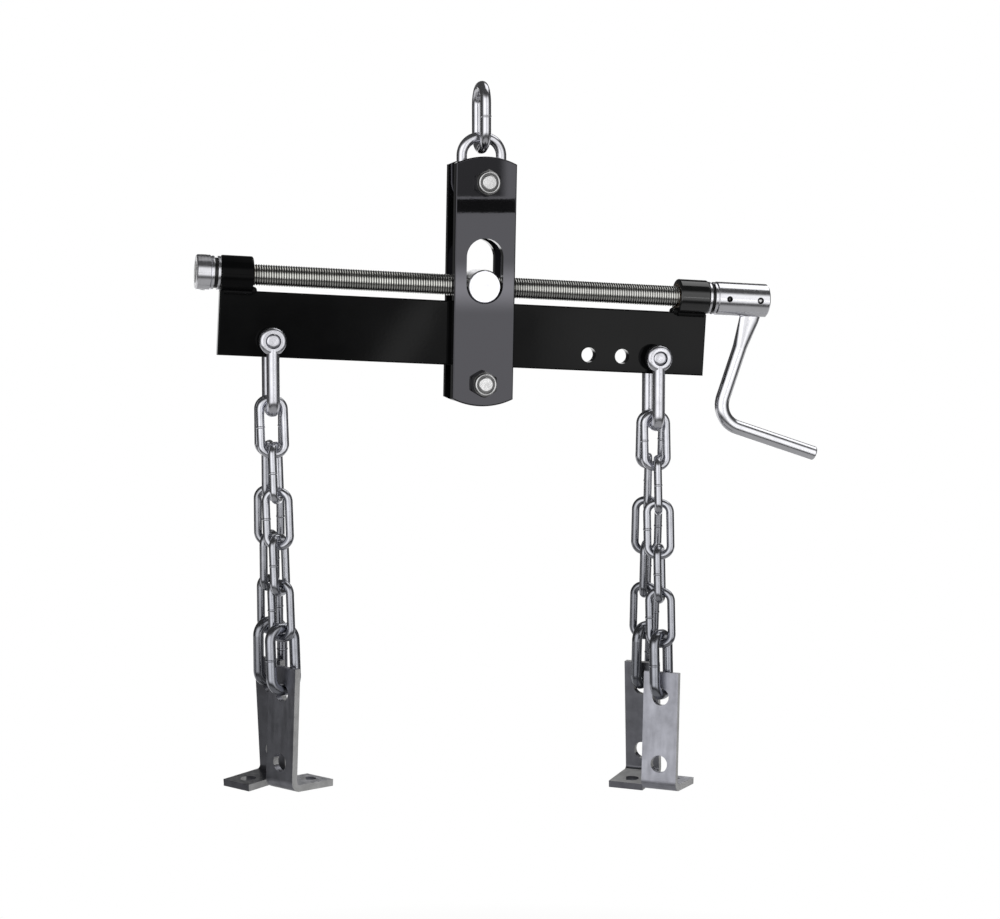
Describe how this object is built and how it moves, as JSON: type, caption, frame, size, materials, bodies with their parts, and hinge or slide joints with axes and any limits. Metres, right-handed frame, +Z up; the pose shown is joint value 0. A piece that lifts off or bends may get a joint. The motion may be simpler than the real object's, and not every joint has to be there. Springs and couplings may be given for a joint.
{
  "type": "engine load leveler",
  "caption": "Slotted yoke on a crane link carries a beam on a crank screw that shifts the lifting point; shackles at the beam ends hold chain pairs with angle brackets.",
  "frame": {"origin": "where the crane hook bears, at the top of the hook link's opening, on its middle plane", "axes": "+X along the beam towards the crank, +Y away from the viewer, +Z up"},
  "size_m": [0.5204, 0.0774, 0.584],
  "materials": {
    "black_paint": "gloss black enamel",
    "zinc_link": "zinc plated welded link",
    "zinc_fastener": "zinc plated",
    "bright_steel": "polished plating",
    "dark_steel": "dark bearing cage",
    "bronze": "sintered bronze",
    "screw_steel": "oiled thread",
    "chain_steel": "zinc plated chain",
    "bracket_zinc": "dull zinc plate"
  },
  "bodies": {
    "hook_link": {"hook_link": "zinc_link"},
    "ring_link": {"ring_link": "zinc_link"},
    "yoke": {"yoke_plate_front": "black_paint", "yoke_plate_rear": "black_paint", "yoke_bolts": "zinc_fastener", "yoke_nuts": "zinc_fastener", "yoke_sleeves": "zinc_fastener"},
    "trunnion": {"trunnion_nut": "bright_steel"},
    "beam": {"beam": "black_paint", "left_bearing_tube": "black_paint", "right_bearing_tube": "black_paint", "left_bush": "bronze", "right_bush": "bronze"},
    "screw": {"screw": "screw_steel", "left_collar": "bright_steel", "left_collar_pin": "zinc_fastener", "crank_hub": "bright_steel", "crank_hub_pin": "zinc_fastener", "crank_pivot_pin": "zinc_fastener", "left_thrust_inner_washer": "bright_steel", "left_thrust_cage": "dark_steel", "left_thrust_outer_washer": "bright_steel", "right_thrust_inner_washer": "bright_steel", "right_thrust_cage": "dark_steel", "right_thrust_outer_washer": "bright_steel"},
    "crank_handle": {"crank_handle": "bright_steel"},
    "left_shackle": {"left_shackle": "bright_steel", "left_shackle_pin": "bright_steel"},
    "right_shackle": {"right_shackle": "bright_steel", "right_shackle_pin": "bright_steel"},
    "left_front_link_1": {"left_front_link_1": "chain_steel"},
    "left_front_link_2": {"left_front_link_2": "chain_steel"},
    "left_front_link_3": {"left_front_link_3": "chain_steel"},
    "left_front_link_4": {"left_front_link_4": "chain_steel"},
    "left_front_link_5": {"left_front_link_5": "chain_steel"},
    "left_front_link_6": {"left_front_link_6": "chain_steel"},
    "left_front_bracket": {"left_front_bracket": "bracket_zinc"},
    "left_rear_link_1": {"left_rear_link_1": "chain_steel"},
    "left_rear_link_2": {"left_rear_link_2": "chain_steel"},
    "left_rear_link_3": {"left_rear_link_3": "chain_steel"},
    "left_rear_link_4": {"left_rear_link_4": "chain_steel"},
    "left_rear_link_5": {"left_rear_link_5": "chain_steel"},
    "left_rear_link_6": {"left_rear_link_6": "chain_steel"},
    "left_rear_bracket": {"left_rear_bracket": "bracket_zinc"},
    "right_front_link_1": {"right_front_link_1": "chain_steel"},
    "right_front_link_2": {"right_front_link_2": "chain_steel"},
    "right_front_link_3": {"right_front_link_3": "chain_steel"},
    "right_front_link_4": {"right_front_link_4": "chain_steel"},
    "right_front_link_5": {"right_front_link_5": "chain_steel"},
    "right_front_link_6": {"right_front_link_6": "chain_steel"},
    "right_front_bracket": {"right_front_bracket": "bracket_zinc"},
    "right_rear_link_1": {"right_rear_link_1": "chain_steel"},
    "right_rear_link_2": {"right_rear_link_2": "chain_steel"},
    "right_rear_link_3": {"right_rear_link_3": "chain_steel"},
    "right_rear_link_4": {"right_rear_link_4": "chain_steel"},
    "right_rear_link_5": {"right_rear_link_5": "chain_steel"},
    "right_rear_link_6": {"right_rear_link_6": "chain_steel"},
    "right_rear_bracket": {"right_rear_bracket": "bracket_zinc"}
  },
  "joints": [
    {"name": "screw_spin", "type": "hinge", "parent": "beam", "child": "screw", "pos_m": [-0.00159, 0, -0.15588], "axis": [0.9985, 0, -0.0541], "range_deg": [-14400, 17280]},
    {"name": "beam_slide", "type": "slide", "parent": "trunnion", "child": "beam", "axis": [0.9985, 0, -0.0541], "range_m": [-0.08, 0.096]},
    {"name": "beam_tilt", "type": "hinge", "parent": "yoke", "child": "trunnion", "pos_m": [-0.00159, 0, -0.15588], "axis": [0, 1, 0], "range_deg": [-15, 15]},
    {"name": "crank_fold", "type": "hinge", "parent": "screw", "child": "crank_handle", "pos_m": [0.23357, 0, -0.16862], "axis": [0, 1, 0], "range_deg": [-105, 0]},
    {"name": "yoke_swing", "type": "hinge", "parent": "ring_link", "child": "yoke", "pos_m": [0, 0, -0.0733], "axis": [0, 1, 0], "range_deg": [-25, 25]},
    {"name": "ring_swing", "type": "hinge", "parent": "hook_link", "child": "ring_link", "pos_m": [0, 0, -0.0364], "axis": [1, 0, 0], "range_deg": [-20, 20]},
    {"name": "left_shackle_swing", "type": "hinge", "parent": "beam", "child": "left_shackle", "pos_m": [-0.17191, 0, -0.19803], "axis": [0, 1, 0], "range_deg": [-25, 35]},
    {"name": "right_shackle_swing", "type": "hinge", "parent": "beam", "child": "right_shackle", "pos_m": [0.14562, 0, -0.21523], "axis": [0, 1, 0], "range_deg": [-15, 35]},
    {"name": "left_front_bracket_swing", "type": "hinge", "parent": "left_front_link_6", "child": "left_front_bracket", "pos_m": [-0.16621, -0.021, -0.47594], "axis": [0.8831, 0.469, -0.015], "range_deg": [-20, 0]},
    {"name": "left_rear_bracket_swing", "type": "hinge", "parent": "left_rear_link_6", "child": "left_rear_bracket", "pos_m": [-0.17161, 0.021, -0.47597], "axis": [-0.8828, -0.4682, -0.0387], "range_deg": [-20, 0]},
    {"name": "right_front_bracket_swing", "type": "hinge", "parent": "right_front_link_6", "child": "right_front_bracket", "pos_m": [0.14702, -0.0245, -0.49291], "axis": [0.7071, 0.7047, -0.059], "range_deg": [-20, 0]},
    {"name": "right_rear_bracket_swing", "type": "hinge", "parent": "right_rear_link_6", "child": "right_rear_bracket", "pos_m": [0.14512, 0.0245, -0.49291], "axis": [-0.707, -0.7045, -0.0618], "range_deg": [-20, 0]},
    {"name": "left_front_swing_1", "type": "hinge", "parent": "left_shackle", "child": "left_front_link_1", "pos_m": [-0.17191, -0.006, -0.25354], "axis": [0, -1, 0], "range_deg": [0, 20]},
    {"name": "left_front_swing_2", "type": "hinge", "parent": "left_front_link_1", "child": "left_front_link_2", "pos_m": [-0.17126, -0.00833, -0.2881], "axis": [-0.9998, -0.0006, -0.0188], "range_deg": [0, 20]},
    {"name": "left_front_swing_3", "type": "hinge", "parent": "left_front_link_2", "child": "left_front_link_3", "pos_m": [-0.16907, -0.0108, -0.32466], "axis": [0.3803, 0.9232, -0.0551], "range_deg": [-20, 0]},
    {"name": "left_front_swing_4", "type": "hinge", "parent": "left_front_link_3", "child": "left_front_link_4", "pos_m": [-0.16838, -0.01326, -0.36122], "axis": [0.9073, -0.4179, 0.0453], "range_deg": [-20, 0]},
    {"name": "left_front_swing_5", "type": "hinge", "parent": "left_front_link_4", "child": "left_front_link_5", "pos_m": [-0.16769, -0.01573, -0.39778], "axis": [-0.605, -0.7951, 0.0422], "range_deg": [0, 20]},
    {"name": "left_front_swing_6", "type": "hinge", "parent": "left_front_link_5", "child": "left_front_link_6", "pos_m": [-0.167, -0.01819, -0.43434], "axis": [-0.6878, 0.7233, -0.0618], "range_deg": [0, 20]},
    {"name": "left_rear_swing_1", "type": "hinge", "parent": "left_shackle", "child": "left_rear_link_1", "pos_m": [-0.17191, 0.006, -0.25354], "axis": [0, 1, 0], "range_deg": [0, 20]},
    {"name": "left_rear_swing_2", "type": "hinge", "parent": "left_rear_link_1", "child": "left_rear_link_2", "pos_m": [-0.17164, 0.00833, -0.28811], "axis": [1, -0.0003, 0.0081], "range_deg": [0, 20]},
    {"name": "left_rear_swing_3", "type": "hinge", "parent": "left_rear_link_2", "child": "left_rear_link_3", "pos_m": [-0.17284, 0.0108, -0.32467], "axis": [-0.3795, -0.9229, -0.0653], "range_deg": [-20, 0]},
    {"name": "left_rear_swing_4", "type": "hinge", "parent": "left_rear_link_3", "child": "left_rear_link_4", "pos_m": [-0.17254, 0.01326, -0.36124], "axis": [-0.9079, 0.4187, 0.0209], "range_deg": [-20, 0]},
    {"name": "left_rear_swing_5", "type": "hinge", "parent": "left_rear_link_4", "child": "left_rear_link_5", "pos_m": [-0.17225, 0.01573, -0.3978], "axis": [0.6044, 0.7946, 0.0585], "range_deg": [0, 20]},
    {"name": "left_rear_swing_6", "type": "hinge", "parent": "left_rear_link_5", "child": "left_rear_link_6", "pos_m": [-0.17195, 0.01819, -0.43437], "axis": [0.6885, -0.7239, -0.0432], "range_deg": [0, 20]},
    {"name": "right_front_swing_1", "type": "hinge", "parent": "right_shackle", "child": "right_front_link_1", "pos_m": [0.14562, -0.006, -0.27073], "axis": [0, -1, 0], "range_deg": [0, 20]},
    {"name": "right_front_swing_2", "type": "hinge", "parent": "right_front_link_1", "child": "right_front_link_2", "pos_m": [0.14561, -0.00887, -0.30526], "axis": [-1, 0, 0.0004], "range_deg": [0, 20]},
    {"name": "right_front_swing_3", "type": "hinge", "parent": "right_front_link_2", "child": "right_front_link_3", "pos_m": [0.14709, -0.01192, -0.34179], "axis": [0.279, 0.957, -0.0798], "range_deg": [-20, 0]},
    {"name": "right_front_swing_4", "type": "hinge", "parent": "right_front_link_3", "child": "right_front_link_4", "pos_m": [0.14707, -0.01496, -0.37831], "axis": [0.9511, -0.308, 0.0252], "range_deg": [-20, 0]},
    {"name": "right_front_swing_5", "type": "hinge", "parent": "right_front_link_4", "child": "right_front_link_5", "pos_m": [0.14705, -0.018, -0.41483], "axis": [-0.454, -0.8879, 0.0741], "range_deg": [0, 20]},
    {"name": "right_front_swing_6", "type": "hinge", "parent": "right_front_link_5", "child": "right_front_link_6", "pos_m": [0.14704, -0.02104, -0.45136], "axis": [-0.8315, 0.5537, -0.0457], "range_deg": [0, 20]},
    {"name": "right_rear_swing_1", "type": "hinge", "parent": "right_shackle", "child": "right_rear_link_1", "pos_m": [0.14562, 0.006, -0.27073], "axis": [0, 1, 0], "range_deg": [0, 20]},
    {"name": "right_rear_swing_2", "type": "hinge", "parent": "right_rear_link_1", "child": "right_rear_link_2", "pos_m": [0.14578, 0.00887, -0.30526], "axis": [1, -0.0002, 0.0045], "range_deg": [0, 20]},
    {"name": "right_rear_swing_3", "type": "hinge", "parent": "right_rear_link_2", "child": "right_rear_link_3", "pos_m": [0.14444, 0.01192, -0.34179], "axis": [-0.2788, -0.9569, -0.0809], "range_deg": [-20, 0]},
    {"name": "right_rear_swing_4", "type": "hinge", "parent": "right_rear_link_3", "child": "right_rear_link_4", "pos_m": [0.1446, 0.01496, -0.37831], "axis": [-0.9511, 0.3081, 0.0214], "range_deg": [-20, 0]},
    {"name": "right_rear_swing_5", "type": "hinge", "parent": "right_rear_link_4", "child": "right_rear_link_5", "pos_m": [0.14477, 0.018, -0.41483], "axis": [0.4538, 0.8878, 0.076], "range_deg": [0, 20]},
    {"name": "right_rear_swing_6", "type": "hinge", "parent": "right_rear_link_5", "child": "right_rear_link_6", "pos_m": [0.14493, 0.02104, -0.45136], "axis": [0.8316, -0.5538, -0.0424], "range_deg": [0, 20]}
  ],
  "couplings": [
    {"joint": "beam_slide", "follows": "screw_spin", "m_per_rad": 0.00031831}
  ]
}
